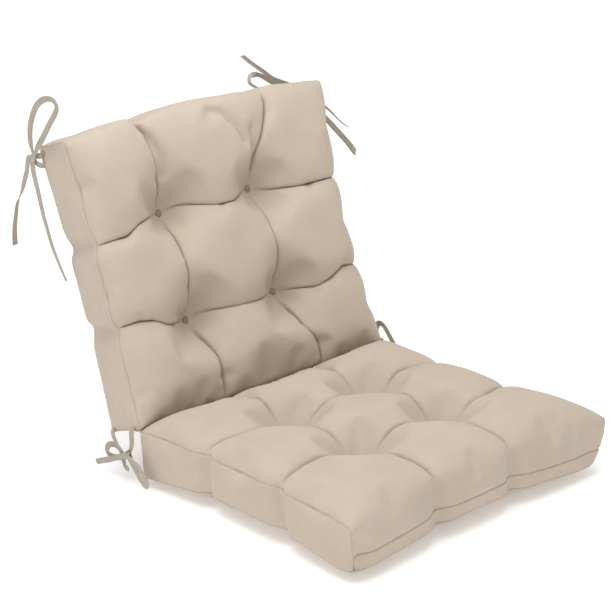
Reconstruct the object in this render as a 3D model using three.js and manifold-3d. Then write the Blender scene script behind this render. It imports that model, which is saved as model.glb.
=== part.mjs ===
// A tufted chair cushion in two sections: a seat pad and a back pad, sewn together along a fold seam.
// Millimetres, +Z up. The origin is the middle of the seat's underside, the seat's front looks
// towards -Y, and the back pad leans back over the +Y end.
import * as THREE from "three";
import { ConvexGeometry } from "three/addons/geometries/ConvexGeometry.js";
import { mergeVertices } from "three/addons/utils/BufferGeometryUtils.js";
import Module from "manifold-3d";

// Overall sizes, seam to seam
const WIDTH = 510;
const SEAT_DEPTH = 500;
const BACK_HEIGHT = 460;
const BOXING = 76; // width of the side strip between the face seam and the rear seam
const RECLINE = 15.5; // degrees that the back leans behind upright

// How far the stuffing lifts each cover above its seam plane
const FACE_CROWN = 24;
const REAR_CROWN = 14;
const FACE_SHOULDER = 17; // height of the crown's shoulder, where its steep edge ends
const SHOULDER_INSET = 22;
const FACE_CROWN_INSET = 60;
const FOLD_SHOULDER_INSET = 56; // flatter beside the fold, so the pads can close on each other
const FOLD_CROWN_INSET = 105;
const REAR_CROWN_INSET = 34;

// Cloth and clearances
const FABRIC = 1.5;
const SEAM_GAP = 0.3;
const FACE_WRAP = 50; // the face cover turns down over the free end of each pad by this much
const FOLD_CLEARANCE = 2.5; // each pad's fold end stands off the fold line
const FOLD_SEAM_RADIUS = 2;

// Tufts: two across, about their own centre line, and two along, measured from the fold line
const SEAT_TUFTS = { across: 165, centre: 0, near: 160, far: 325 };
const BACK_TUFTS = { across: 180, centre: -11, near: 141, far: 317 };
const FACE_TUFT_DEPTH = 34; // below the face seam plane
const REAR_TUFT_DEPTH = 14; // above the rear seam plane
const TUFT_FLOOR_RADIUS = 9;
const FACE_MOUTH_RADIUS = 48;
const REAR_MOUTH_RADIUS = 27;
const TUFT_FLARE = 1.7; // 1 would be a straight cone
const TUFT_STEPS = 3;
const BUTTON_RADIUS = 6.5;
const BUTTON_HEIGHT = 4.5;
const TWINE_RADIUS = 1;
const TWINE_HOLE_RADIUS = 1.6;
const PIT_SIDES = 12;
const BUTTON_SIDES = 12;
const TWINE_SIDES = 8;

// Tie tapes
const TAPE_WIDTH = 10;
const TAPE_THICKNESS = 1.6;
const TAPE_EDGE = 0.4; // bevel of the tape's edges
const TAPE_STEP = 2 * TAPE_WIDTH;
const TAPE_FACING = new THREE.Vector3(1, 0.14, 0.08).normalize();

const OUTSIDE = 50; // how far a cutting block runs past what it cuts

const FACE_COVER = new THREE.MeshStandardMaterial({ color: 0xcfc0ae, roughness: 0.9, metalness: 0 });
const BUTTON_COVER = new THREE.MeshStandardMaterial({ color: 0xb9a58f, roughness: 0.9, metalness: 0 });
const STUFFING = new THREE.MeshStandardMaterial({ color: 0xf2f0ea, roughness: 1, metalness: 0 });
const TWINE = new THREE.MeshStandardMaterial({ color: 0xd8ccb8, roughness: 0.8, metalness: 0 });
const TAPE = new THREE.MeshStandardMaterial({ color: 0xb3a593, roughness: 0.85, metalness: 0 });

const wasm = await Module();
wasm.setup();

// A closed geometry as a solid that can be cut and joined.
function solidOf(geometry) {
  const bare = geometry.clone();
  bare.deleteAttribute("normal");
  bare.deleteAttribute("uv");
  const merged = mergeVertices(bare, 1e-4);
  return new wasm.Manifold(
    new wasm.Mesh({
      numProp: 3,
      vertProperties: new Float32Array(merged.attributes.position.array),
      triVerts: new Uint32Array(merged.index.array),
    }),
  );
}

function geometryOf(solid) {
  const mesh = solid.getMesh();
  const geometry = new THREE.BufferGeometry();
  geometry.setAttribute("position", new THREE.BufferAttribute(mesh.vertProperties, 3));
  geometry.setIndex(new THREE.BufferAttribute(mesh.triVerts, 1));
  geometry.computeVertexNormals();
  return geometry;
}

function piece(name, geometry, material) {
  const mesh = new THREE.Mesh(geometry, material);
  mesh.name = name;
  return mesh;
}

// A pad is drawn flat in its own frame: x across, y along from the fold line, z out of its face,
// with z = 0 at the face seam and z = -BOXING at the rear seam.
function block(x0, x1, y0, y1, z0, z1) {
  const box = new THREE.BoxGeometry(x1 - x0, y1 - y0, z1 - z0);
  return solidOf(box.translate((x0 + x1) / 2, (y0 + y1) / 2, (z0 + z1) / 2));
}

// The stuffed outline without its tufts, drawn in by shrink on every side.
function crownedBlock(length, shrink) {
  const levels = [
    { z: -BOXING - REAR_CROWN + shrink, side: REAR_CROWN_INSET, fold: REAR_CROWN_INSET },
    { z: -BOXING, side: 0, fold: 0 },
    { z: 0, side: 0, fold: 0 },
    { z: FACE_SHOULDER - shrink, side: SHOULDER_INSET, fold: FOLD_SHOULDER_INSET },
    { z: FACE_CROWN - shrink, side: FACE_CROWN_INSET, fold: FOLD_CROWN_INSET },
  ];
  const corners = levels.flatMap(({ z, side, fold }) => {
    const x = WIDTH / 2 - side - shrink;
    const y0 = FOLD_CLEARANCE + fold + shrink;
    const y1 = length - side - shrink;
    return [
      new THREE.Vector3(-x, y0, z),
      new THREE.Vector3(x, y0, z),
      new THREE.Vector3(-x, y1, z),
      new THREE.Vector3(x, y1, z),
    ];
  });
  return solidOf(new ConvexGeometry(corners));
}

// A tuft's pit: flat at the bottom, flaring out to its mouth just past the crown.
function tuftPit(floorZ, mouthZ, mouthRadius, grow) {
  const profile = [new THREE.Vector2(0, floorZ)];
  for (let i = 0; i <= TUFT_STEPS; i++) {
    const s = i / TUFT_STEPS;
    const radius = TUFT_FLOOR_RADIUS + (mouthRadius - TUFT_FLOOR_RADIUS) * s ** TUFT_FLARE;
    profile.push(new THREE.Vector2(radius + grow, floorZ + (mouthZ - floorZ) * s));
  }
  profile.push(new THREE.Vector2(0, mouthZ));
  if (mouthZ < floorZ) profile.reverse();
  return solidOf(new THREE.LatheGeometry(profile, PIT_SIDES).rotateX(Math.PI / 2));
}

function tuftPlaces({ across, centre, near, far }) {
  return [near, far].flatMap((y) => [centre - across / 2, centre + across / 2].map((x) => [x, y]));
}

// Outer surface at shrink 0; the cloth's inside and the stuffing's outside are the same form, smaller.
function stuffedForm(pad, shrink) {
  let form = crownedBlock(pad.length, shrink);
  const facePit = tuftPit(-FACE_TUFT_DEPTH - shrink, FACE_CROWN + 1, FACE_MOUTH_RADIUS, shrink);
  const rearPit = tuftPit(
    -BOXING + REAR_TUFT_DEPTH + shrink,
    -BOXING - REAR_CROWN - 1,
    REAR_MOUTH_RADIUS,
    shrink,
  );
  const hole = new THREE.CylinderGeometry(TWINE_HOLE_RADIUS, TWINE_HOLE_RADIUS, BOXING, TWINE_SIDES);
  const twineHole = solidOf(hole.rotateX(Math.PI / 2).translate(0, 0, -BOXING / 2));
  for (const [x, y] of tuftPlaces(pad.tufts)) {
    for (const cut of [facePit, rearPit, twineHole]) form = form.subtract(cut.translate([x, y, 0]));
  }
  return form;
}

function buildPad(pad) {
  const group = new THREE.Group();
  const outer = stuffedForm(pad, 0);
  const cover = outer.subtract(stuffedForm(pad, FABRIC));

  const side = WIDTH / 2;
  const end = pad.length;
  const half = SEAM_GAP / 2;
  const wall = FABRIC + SEAM_GAP; // a boxing strip and the gap inside it
  const midZ = (-FACE_TUFT_DEPTH - BOXING + REAR_TUFT_DEPTH) / 2;
  const inX = side - wall;
  const inY0 = FOLD_CLEARANCE + wall;
  const inY1 = end - wall;

  const above = block(-side - OUTSIDE, side + OUTSIDE, -OUTSIDE, end + OUTSIDE, half, OUTSIDE);
  const below = block(
    -side - OUTSIDE,
    side + OUTSIDE,
    -OUTSIDE,
    end + OUTSIDE,
    -BOXING - OUTSIDE,
    -BOXING - half,
  );
  const facePits = block(-inX, inX, inY0, inY1, midZ, half + 1);
  const rearPits = block(-inX, inX, inY0, inY1, -BOXING - half - 1, midZ);
  const wrap = block(-inX, inX, inY1, end + OUTSIDE, half - FACE_WRAP, half + 1);
  const band = block(-inX, inX, inY1, end + OUTSIDE, half - BOXING, -half - FACE_WRAP);
  const fold = block(-inX, inX, -OUTSIDE, FOLD_CLEARANCE + FABRIC, half - BOXING, -half);
  const left = block(-side - OUTSIDE, FABRIC - side, -OUTSIDE, end + OUTSIDE, half - BOXING, -half);
  const right = block(side - FABRIC, side + OUTSIDE, -OUTSIDE, end + OUTSIDE, half - BOXING, -half);
  const cuts = {
    face: above.add(facePits).add(wrap),
    rear: below.add(rearPits),
    band,
    fold,
    left: pad.turned ? right : left,
    right: pad.turned ? left : right,
  };
  for (const [part, cut] of Object.entries(cuts)) {
    group.add(piece(pad.names[part], geometryOf(cover.intersect(cut)), FACE_COVER));
  }
  const stuffing = stuffedForm(pad, FABRIC + SEAM_GAP);
  group.add(piece(pad.names.filling, geometryOf(stuffing), STUFFING));

  const faceZ = -FACE_TUFT_DEPTH + SEAM_GAP;
  const rearZ = -BOXING + REAR_TUFT_DEPTH - SEAM_GAP;
  const twineLength = faceZ - rearZ - 2 * SEAM_GAP;
  tuftPlaces(pad.tufts).forEach(([x, y], i) => {
    const face = piece(`${pad.names.faceButton}_${i + 1}`, buttonGeometry(), BUTTON_COVER);
    face.position.set(x, y, faceZ);
    const rear = piece(`${pad.names.rearButton}_${i + 1}`, buttonGeometry(), BUTTON_COVER);
    rear.position.set(x, y, rearZ);
    rear.rotation.x = Math.PI;
    const strand = new THREE.CylinderGeometry(TWINE_RADIUS, TWINE_RADIUS, twineLength, TWINE_SIDES);
    const twine = piece(`${pad.names.twine}_${i + 1}`, strand.rotateX(Math.PI / 2), TWINE);
    twine.position.set(x, y, (faceZ + rearZ) / 2);
    group.add(face, rear, twine);
  });
  return group;
}

// A cloth-covered button: a flat back and a domed front.
function buttonGeometry() {
  const steps = 3;
  const profile = [new THREE.Vector2(0, 0), new THREE.Vector2(BUTTON_RADIUS * 0.8, 0)];
  for (let i = 0; i < steps; i++) {
    const turn = (i / steps) * (Math.PI / 2);
    const rise = BUTTON_HEIGHT * (0.25 + 0.75 * Math.sin(turn));
    profile.push(new THREE.Vector2(BUTTON_RADIUS * Math.cos(turn), rise));
  }
  profile.push(new THREE.Vector2(0, BUTTON_HEIGHT));
  return new THREE.LatheGeometry(profile, BUTTON_SIDES).rotateX(Math.PI / 2);
}

const seatPad = {
  length: SEAT_DEPTH,
  tufts: SEAT_TUFTS,
  turned: true, // turned end for end about +Z, so its own +x is the cushion's left
  names: {
    face: "seat_top_panel",
    rear: "seat_bottom_panel",
    band: "seat_front_band",
    fold: "seat_rear_panel",
    left: "seat_left_boxing",
    right: "seat_right_boxing",
    filling: "seat_filling",
    faceButton: "seat_top_button",
    rearButton: "seat_under_button",
    twine: "seat_tuft_twine",
  },
};
const backPad = {
  length: BACK_HEIGHT,
  tufts: BACK_TUFTS,
  turned: false,
  names: {
    face: "back_front_panel",
    rear: "back_rear_panel",
    band: "back_top_band",
    fold: "back_bottom_panel",
    left: "back_left_boxing",
    right: "back_right_boxing",
    filling: "back_filling",
    faceButton: "back_front_button",
    rearButton: "back_rear_button",
    twine: "back_tuft_twine",
  },
};

const cushion = new THREE.Group();
const foldLine = new THREE.Vector3(0, SEAT_DEPTH / 2, REAR_CROWN + BOXING);

const seat = buildPad(seatPad);
seat.position.copy(foldLine);
seat.rotation.z = Math.PI;

const back = buildPad(backPad);
back.position.copy(foldLine);
back.rotation.x = THREE.MathUtils.degToRad(90 - RECLINE);
cushion.add(seat, back);

// The rolled seam that joins the two face covers, and that the back folds about.
const seamLength = WIDTH - 2 * FOLD_SEAM_RADIUS;
const seamRoll = new THREE.CylinderGeometry(FOLD_SEAM_RADIUS, FOLD_SEAM_RADIUS, seamLength, 12);
const foldSeam = piece("fold_seam", seamRoll.rotateZ(Math.PI / 2), FACE_COVER);
foldSeam.position.copy(foldLine);
cushion.add(foldSeam);

// Tie tapes, two to a bow. A route's points are offsets from the corner that the bow hangs at, and
// start just off the side strip. Where tapes cross in a knot they lie in layers outwards from it.
class TapePath extends THREE.CatmullRomCurve3 {
  constructor(points) {
    super(points, false, "centripetal");
  }

  // Keeps the tape's flat side turned towards TAPE_FACING all the way along.
  computeFrenetFrames(segments) {
    const frames = { tangents: [], normals: [], binormals: [] };
    for (let i = 0; i <= segments; i++) {
      const tangent = this.getTangentAt(i / segments);
      const normal = new THREE.Vector3().crossVectors(TAPE_FACING, tangent).normalize();
      frames.tangents.push(tangent);
      frames.normals.push(normal);
      frames.binormals.push(new THREE.Vector3().crossVectors(tangent, normal));
    }
    return frames;
  }
}

function tapeSection() {
  const w = TAPE_WIDTH / 2;
  const t = TAPE_THICKNESS / 2;
  const e = TAPE_EDGE;
  const corners = [
    [w, e - t],
    [w, t - e],
    [w - e, t],
    [e - w, t],
    [-w, t - e],
    [-w, e - t],
    [e - w, -t],
    [w - e, -t],
  ];
  return new THREE.Shape(corners.map(([x, y]) => new THREE.Vector2(x, y)));
}

function tape(name, corner, route) {
  const path = new TapePath(route.map((p) => new THREE.Vector3(...p)));
  const steps = Math.round(path.getLength() / TAPE_STEP);
  const strip = new THREE.ExtrudeGeometry(tapeSection(), { steps, extrudePath: path });
  const mesh = piece(name, strip, TAPE);
  mesh.position.copy(corner);
  return mesh;
}

const topLeft = new THREE.Vector3(-WIDTH / 2, BACK_HEIGHT, -BOXING);
const topRight = new THREE.Vector3(WIDTH / 2, BACK_HEIGHT, -BOXING);
cushion.updateMatrixWorld(true);
back.localToWorld(topLeft);
back.localToWorld(topRight);
const foldLeft = new THREE.Vector3(-WIDTH / 2, foldLine.y, foldLine.z);
const foldRight = new THREE.Vector3(WIDTH / 2, foldLine.y, foldLine.z);

cushion.add(
  // One tall loop that leans forward over the corner, then a long tail down the rear edge.
  tape("tie_top_left_1", topLeft, [
    [-1, -12, -8],
    [-4.5, -12, -8],
    [-8, -4, -9],
    [-9, 4, -7],
    [-10, 8, 10],
    [-10, 6, 28],
    [-12, -5, 47],
    [-14, -20, 64],
    [-16, -38, 78],
    [-17, -56, 87],
    [-17, -74, 91],
    [-16, -87, 89],
    [-15, -91, 80],
    [-14, -82, 69],
    [-14, -64, 52],
    [-14, -38, 26],
    [-15, -14, 1],
    [-16, -3, -12],
    [-15, 1, -28],
    [-13, -1, -63],
    [-12, -9, -107],
    [-12, -23, -146],
    [-12, -38, -176],
    [-12, -54, -202],
  ]),
  tape("tie_top_left_2", topLeft, [
    [-1, -13, -24],
    [-4.5, -13, -24],
    [-9, -7, -22],
    [-12, 0, -16],
    [-12.5, 8, -12],
    [-13, 15, -15],
    [-14, 18, -22],
    [-14, 22, -34],
    [-14, 30, -47],
    [-15, 38, -61],
    [-16, 47, -76],
    [-18, 56, -91],
    [-20, 64, -114],
    [-21, 69, -131],
    [-22, 72, -148],
    [-22, 75, -165],
  ]),
  // A round loop and a stiff tail stand up behind the corner; the rest hangs outside it.
  tape("tie_top_right_1", topRight, [
    [1, -12, -8],
    [5, -12, -8],
    [10, -4, -9],
    [10, 6, -9],
    [5, 16, -6],
    [-6, 22, 0],
    [-27, 26, 13],
    [-45, 32, 27],
    [-57, 34, 30],
    [-67, 34, 27],
    [-70, 31, 18],
    [-58, 27, 8],
    [-38, 25, -4],
    [-18, 24, -14],
    [-2, 20, -19],
    [12, 10, -16],
    [19, 0, -13],
    [26, -11, -18],
    [36, -24, -30],
    [47, -33, -42],
    [59, -37, -56],
    [71, -39, -69],
    [82, -41, -79],
  ]),
  tape("tie_top_right_2", topRight, [
    [1, -13, -24],
    [4.5, -13, -24],
    [10, -8, -20],
    [13, -2, -14],
    [16, -9, -24],
    [24, -17, -35],
    [38, -28, -50],
    [53, -39, -73],
    [67, -49, -97],
    [77, -55, -114],
    [84, -55, -123],
    [89, -48, -124],
    [86, -40, -113],
    [76, -36, -98],
    [64, -27, -79],
    [50, -16, -57],
    [36, -3, -38],
    [26, 8, -23],
    [19, 17, -9],
    [12, 26, 0],
    [2, 31, 6],
    [-12, 36, 14],
    [-31, 40, 30],
    [-50, 44, 46],
    [-68, 48, 63],
  ]),
  // A loose bow beside the fold's left end.
  tape("tie_fold_left_1", foldLeft, [
    [-1, 9, 5],
    [-4, 9, 5],
    [-7, 9, 0],
    [-7.5, 9, -8],
    [-7.5, 10, -18],
    [-8, 14, -29],
    [-8, 22, -38],
    [-8, 32, -46],
    [-8.5, 46, -52],
    [-9, 60, -55],
    [-9.5, 74, -56],
    [-9, 83, -52],
    [-7, 84, -45],
    [-5, 78, -40],
    [-4, 66, -38],
    [-4, 53, -41],
    [-4.5, 45, -49],
    [-5, 43, -58],
    [-7, 37, -65],
    [-8, 27, -66],
  ]),
  tape("tie_fold_left_2", foldLeft, [
    [-1, 66, -10],
    [-4.5, 66, -10],
    [-8, 61, -19],
    [-10, 50, -29],
    [-12, 38, -35],
    [-13, 26, -40],
    [-13, 14, -44],
    [-13, 4, -52],
    [-13, -5, -62],
    [-13.5, -14, -71],
    [-14.5, -24, -77],
    [-15.5, -32, -74],
    [-16, -32, -65],
    [-16, -22, -54],
    [-16, -6, -44],
    [-16.5, 10, -38],
    [-16.5, 24, -40],
    [-16.5, 38, -46],
    [-16, 54, -53],
    [-15.5, 72, -61],
    [-15.5, 90, -68],
    [-16, 107, -75],
  ]),
  // The same beside its right end, with one loop arching up over the corner.
  tape("tie_fold_right_1", foldRight, [
    [1, 9, 5],
    [4, 9, 5],
    [7, 9, 0],
    [8, 12, -8],
    [9, 20, -8],
    [10, 27, 3],
    [12, 29, 17],
    [12, 21, 30],
    [11, 10, 30],
    [10, 0, 23],
    [10, -9, 12],
    [11, -15, 3],
    [13, -18, -8],
    [15, -12, -17],
    [17, 2, -22],
    [17.5, 16, -28],
    [17, 28, -38],
    [17, 40, -50],
    [17, 52, -62],
  ]),
  tape("tie_fold_right_2", foldRight, [
    [1, 66, -10],
    [4.5, 66, -10],
    [9, 56, -22],
    [11.5, 42, -29],
    [13, 28, -27],
    [13, 14, -23],
    [13, 2, -29],
    [13, -8, -40],
    [13, -14, -54],
    [14.5, -12, -66],
    [16.5, -3, -69],
    [18, 6, -61],
    [19.5, 9, -48],
    [21, 12, -35],
    [22, 20, -26],
    [22, 34, -28],
    [21, 50, -36],
    [19, 66, -48],
    [19, 80, -62],
  ]),
);

export default cushion;
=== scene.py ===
"""A tufted chair cushion: a seat pad and a back pad that fold against each other on one sewn seam.
Metres, +Z up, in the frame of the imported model."""

import math

import bpy
import numpy as np
from mathutils import Matrix, Vector


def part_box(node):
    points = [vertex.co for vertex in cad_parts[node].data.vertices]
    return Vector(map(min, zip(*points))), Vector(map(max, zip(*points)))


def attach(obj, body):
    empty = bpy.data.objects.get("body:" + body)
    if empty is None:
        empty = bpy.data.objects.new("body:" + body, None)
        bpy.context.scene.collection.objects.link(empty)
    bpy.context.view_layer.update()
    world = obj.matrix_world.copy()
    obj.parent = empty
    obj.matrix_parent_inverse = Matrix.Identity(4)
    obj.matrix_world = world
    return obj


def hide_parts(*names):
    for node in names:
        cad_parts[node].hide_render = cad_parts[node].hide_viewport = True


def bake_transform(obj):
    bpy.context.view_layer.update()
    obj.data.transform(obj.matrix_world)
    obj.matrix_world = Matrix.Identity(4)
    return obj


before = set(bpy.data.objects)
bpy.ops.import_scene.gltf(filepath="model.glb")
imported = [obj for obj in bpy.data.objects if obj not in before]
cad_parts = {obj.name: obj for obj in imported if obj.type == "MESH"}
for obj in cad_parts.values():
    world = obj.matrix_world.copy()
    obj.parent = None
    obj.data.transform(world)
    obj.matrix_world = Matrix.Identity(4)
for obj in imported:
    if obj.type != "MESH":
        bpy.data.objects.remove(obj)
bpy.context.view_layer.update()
scene = bpy.context.scene

# ---------------------------------------------------------------------------------------------
# Camera
# A long lens at chair height, in front of the cushion and to its left, rolled by a few degrees.
# ---------------------------------------------------------------------------------------------
CAMERA_AZIMUTH = math.radians(-38.47)
CAMERA_ELEVATION = math.radians(18.894)
CAMERA_ROLL = math.radians(-4.087)
CAMERA_DISTANCE = 2.619
CAMERA_LENS = 103.51  # mm, on a sensor 36 mm wide
LOOK_SIDEWAYS = -0.0827  # where the camera looks: left of the cushion's middle
LOOK_HEIGHT = 0.290

camera_right = Vector((math.cos(CAMERA_AZIMUTH), math.sin(CAMERA_AZIMUTH), 0))
camera_back = Vector(
    (
        math.sin(CAMERA_AZIMUTH) * math.cos(CAMERA_ELEVATION),
        -math.cos(CAMERA_AZIMUTH) * math.cos(CAMERA_ELEVATION),
        math.sin(CAMERA_ELEVATION),
    )
)
camera_up = camera_back.cross(camera_right)
rolled_right = camera_right * math.cos(CAMERA_ROLL) + camera_up * math.sin(CAMERA_ROLL)
rolled_up = camera_up * math.cos(CAMERA_ROLL) - camera_right * math.sin(CAMERA_ROLL)
camera = bpy.data.objects.new("camera", bpy.data.cameras.new("camera"))
camera.data.sensor_width = 36
camera.data.lens = CAMERA_LENS
look_at = camera_right * LOOK_SIDEWAYS + Vector((0, 0, LOOK_HEIGHT))
camera.matrix_world = Matrix.Translation(look_at + camera_back * CAMERA_DISTANCE) @ Matrix(
    (rolled_right, rolled_up, camera_back)
).transposed().to_4x4()
scene.collection.objects.link(camera)
scene.camera = camera

# ---------------------------------------------------------------------------------------------
# Tie tapes
# Eight limp tapes of the cover's own cloth, folded in and stitched near both edges, each sewn
# into a corner of the back pad and tied in a bow with its neighbour, with hemmed ends.
# ---------------------------------------------------------------------------------------------
TAPE_WIDTH = 0.010
TAPE_THICKNESS = 0.0013
TAPE_STEP = 0.003  # between the rings of a tape's mesh
TAPE_FACING = Vector((1, 0.14, 0.08)).normalized()
STITCH_PITCH = 0.0034  # from one stitch to the next
STITCH_LENGTH = 0.0025
STITCH_RADIUS = 0.00036
HEM_MARGIN = 0.0017  # from a tape's edge to its row of stitches


def srgb(code):
    """An sRGB hex colour as linear RGBA."""
    parts = [int(code[i : i + 2], 16) / 255 for i in (1, 3, 5)]
    linear = [c / 12.92 if c <= 0.04045 else ((c + 0.055) / 1.055) ** 2.4 for c in parts]
    return (*linear, 1)


def add(tree, kind, sockets=(), **settings):
    """Adds a node: settings are its properties, sockets are (input, value or output to link)."""
    made = tree.nodes.new(kind)
    for key, value in settings.items():
        setattr(made, key, value)
    for key, value in sockets:
        if isinstance(value, bpy.types.NodeSocket):
            tree.links.new(value, made.inputs[key])
        else:
            made.inputs[key].default_value = value
    return made


def empty_material(name):
    material = bpy.data.materials.new(name)
    material.use_nodes = True
    material.node_tree.nodes.clear()
    return material, material.node_tree


WAVE_BAND = 0.314  # metres from band to band of a wave texture whose scale is 1


def woven(name, light, dark, thread, roughness, sheen, bump_mm):
    """Plain-weave cloth: a dry, matt surface whose threads show as a fine grid, with slubs that
    vary its colour along the threads and a faint sheen where it turns away."""
    material, tree = empty_material(name)
    uv = add(tree, "ShaderNodeUVMap", uv_map="cloth")
    warp, weft = (
        add(
            tree,
            "ShaderNodeTexWave",
            [
                ("Vector", uv.outputs["UV"]),
                ("Scale", WAVE_BAND / thread),
                ("Distortion", 0.6),
                ("Detail", 1),
            ],
            bands_direction=way,
        )
        for way in "XY"
    )
    weave = add(
        tree,
        "ShaderNodeMath",
        [(0, warp.outputs["Fac"]), (1, weft.outputs["Fac"])],
        operation="MULTIPLY",
    )
    along = add(tree, "ShaderNodeMapping", [("Vector", uv.outputs["UV"]), ("Scale", (60, 900, 1))])
    slubs = add(
        tree,
        "ShaderNodeTexNoise",
        [("Vector", along.outputs["Vector"]), ("Scale", 1), ("Detail", 3)],
    )
    place = add(tree, "ShaderNodeTexCoord")
    cloudy = add(
        tree,
        "ShaderNodeTexNoise",
        [("Vector", place.outputs["Object"]), ("Scale", 14), ("Detail", 4), ("Roughness", 0.6)],
    )
    tone = 0.0
    for part, share in (
        (slubs.outputs["Fac"], 0.45),
        (cloudy.outputs["Fac"], 0.55),
        (weave.outputs[0], 0.3),
    ):
        summed = add(
            tree, "ShaderNodeMath", [(0, part), (1, share), (2, tone)], operation="MULTIPLY_ADD"
        )
        tone = summed.outputs[0]
    colour = add(tree, "ShaderNodeValToRGB", [("Fac", tone)])
    colour.color_ramp.elements[0].position = 0.3
    colour.color_ramp.elements[0].color = srgb(dark)
    colour.color_ramp.elements[1].position = 0.85
    colour.color_ramp.elements[1].color = srgb(light)
    nap = add(
        tree,
        "ShaderNodeTexNoise",
        [("Vector", place.outputs["Object"]), ("Scale", 900), ("Detail", 2)],
    )
    relief = add(
        tree,
        "ShaderNodeMath",
        [(0, nap.outputs["Fac"]), (1, 0.5), (2, weave.outputs[0])],
        operation="MULTIPLY_ADD",
    )
    bump = add(
        tree,
        "ShaderNodeBump",
        [("Height", relief.outputs[0]), ("Strength", 0.6), ("Distance", bump_mm / 1000)],
    )
    matt = add(
        tree,
        "ShaderNodeMapRange",
        [
            ("Value", slubs.outputs["Fac"]),
            ("To Min", roughness - 0.06),
            ("To Max", roughness + 0.05),
        ],
    )
    cloth = add(
        tree,
        "ShaderNodeBsdfPrincipled",
        [
            ("Base Color", colour.outputs["Color"]),
            ("Roughness", matt.outputs["Result"]),
            ("IOR", 1.45),
            ("Specular IOR Level", 0.25),
            ("Sheen Weight", sheen),
            ("Sheen Roughness", 0.45),
            ("Normal", bump.outputs["Normal"]),
        ],
    )
    add(tree, "ShaderNodeOutputMaterial", [("Surface", cloth.outputs["BSDF"])])
    return material


# The ties are cut from the cover's polyester canvas; folded double, they look greyer and denser.
tape_cloth = woven("folded_canvas_tape", "#beb4a6", "#9b9184", 0.0012, 0.86, 0.15, 0.25)


def thread_material(name, light, dark):
    """Twisted polyester thread: a slightly glossy strand with its plies showing as fine turns."""
    material, tree = empty_material(name)
    place = add(tree, "ShaderNodeTexCoord")
    plies = add(
        tree,
        "ShaderNodeTexWave",
        [("Vector", place.outputs["Object"]), ("Scale", 420), ("Distortion", 1.5)],
        bands_direction="DIAGONAL",
    )
    colour = add(tree, "ShaderNodeValToRGB", [("Fac", plies.outputs["Fac"])])
    colour.color_ramp.elements[0].color = srgb(dark)
    colour.color_ramp.elements[1].color = srgb(light)
    bump = add(
        tree,
        "ShaderNodeBump",
        [("Height", plies.outputs["Fac"]), ("Strength", 0.5), ("Distance", 0.0002)],
    )
    strand = add(
        tree,
        "ShaderNodeBsdfPrincipled",
        [
            ("Base Color", colour.outputs["Color"]),
            ("Roughness", 0.6),
            ("Sheen Weight", 0.1),
            ("Normal", bump.outputs["Normal"]),
        ],
    )
    add(tree, "ShaderNodeOutputMaterial", [("Surface", strand.outputs["BSDF"])])
    return material


sewing_thread = thread_material("polyester_sewing_thread", "#c2b6a4", "#8f8371")


def stitch_tree(name, material):
    """Geometry Nodes that lay a stitch at every pitch along the lines it is given."""
    tree = bpy.data.node_groups.new(name, "GeometryNodeTree")
    tree.interface.new_socket("Geometry", in_out="INPUT", socket_type="NodeSocketGeometry")
    for label, value in (
        ("Pitch", STITCH_PITCH),
        ("Stitch length", STITCH_LENGTH),
        ("Thread radius", STITCH_RADIUS),
    ):
        socket = tree.interface.new_socket(label, in_out="INPUT", socket_type="NodeSocketFloat")
        socket.default_value = value
    tree.interface.new_socket("Geometry", in_out="OUTPUT", socket_type="NodeSocketGeometry")
    given = add(tree, "NodeGroupInput")
    line = add(tree, "GeometryNodeMeshToCurve", [("Mesh", given.outputs["Geometry"])])
    marks = add(
        tree,
        "GeometryNodeResampleCurve",
        [("Curve", line.outputs["Curve"]), ("Length", given.outputs["Pitch"])],
        mode="LENGTH",
    )
    bead = add(
        tree, "GeometryNodeMeshUVSphere", [("Segments", 6), ("Rings", 4), ("Radius", 1.0)]
    )
    half = add(
        tree,
        "ShaderNodeMath",
        [(0, given.outputs["Stitch length"]), (1, 0.5)],
        operation="MULTIPLY",
    )
    size = add(
        tree,
        "ShaderNodeCombineXYZ",
        [
            ("X", given.outputs["Thread radius"]),
            ("Y", given.outputs["Thread radius"]),
            ("Z", half.outputs[0]),
        ],
    )
    heading = add(tree, "GeometryNodeInputTangent")
    turn = add(
        tree,
        "FunctionNodeAlignRotationToVector",
        [("Vector", heading.outputs["Tangent"])],
        axis="Z",
    )
    laid = add(
        tree,
        "GeometryNodeInstanceOnPoints",
        [
            ("Points", marks.outputs["Curve"]),
            ("Instance", bead.outputs["Mesh"]),
            ("Rotation", turn.outputs["Rotation"]),
            ("Scale", size.outputs["Vector"]),
        ],
    )
    real = add(
        tree, "GeometryNodeRealizeInstances", [("Geometry", laid.outputs["Instances"])]
    )
    finish = add(
        tree,
        "GeometryNodeSetMaterial",
        [("Geometry", real.outputs["Geometry"]), ("Material", material)],
    )
    add(tree, "NodeGroupOutput", [("Geometry", finish.outputs["Geometry"])])
    return tree


lockstitch = stitch_tree("lockstitch", sewing_thread)


def settings_of(modifier):
    """The identifiers of a node modifier's named inputs."""
    items = modifier.node_group.interface.items_tree
    return {item.name: item.identifier for item in items if item.in_out == "INPUT"}


def sewn(name, rows, **sizes):
    """Stitches along rows of points, as one plain mesh."""
    mesh = bpy.data.meshes.new(name)
    points, edges = [], []
    for row in rows:
        start = len(points)
        points.extend(map(tuple, row))
        edges.extend((i, i + 1) for i in range(start, len(points) - 1))
    mesh.from_pydata(points, edges, [])
    lines = bpy.data.objects.new(name, mesh)
    scene.collection.objects.link(lines)
    modifier = lines.modifiers.new("stitches", "NODES")
    modifier.node_group = lockstitch
    sockets = settings_of(modifier)
    for key, value in sizes.items():
        modifier[sockets[key.replace("_", " ").capitalize()]] = value
    bpy.context.view_layer.update()
    shown = lines.evaluated_get(bpy.context.evaluated_depsgraph_get())
    stitches = bpy.data.meshes.new_from_object(shown)
    lines.modifiers.clear()
    lines.data = stitches
    stitches.name = name
    return lines


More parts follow.
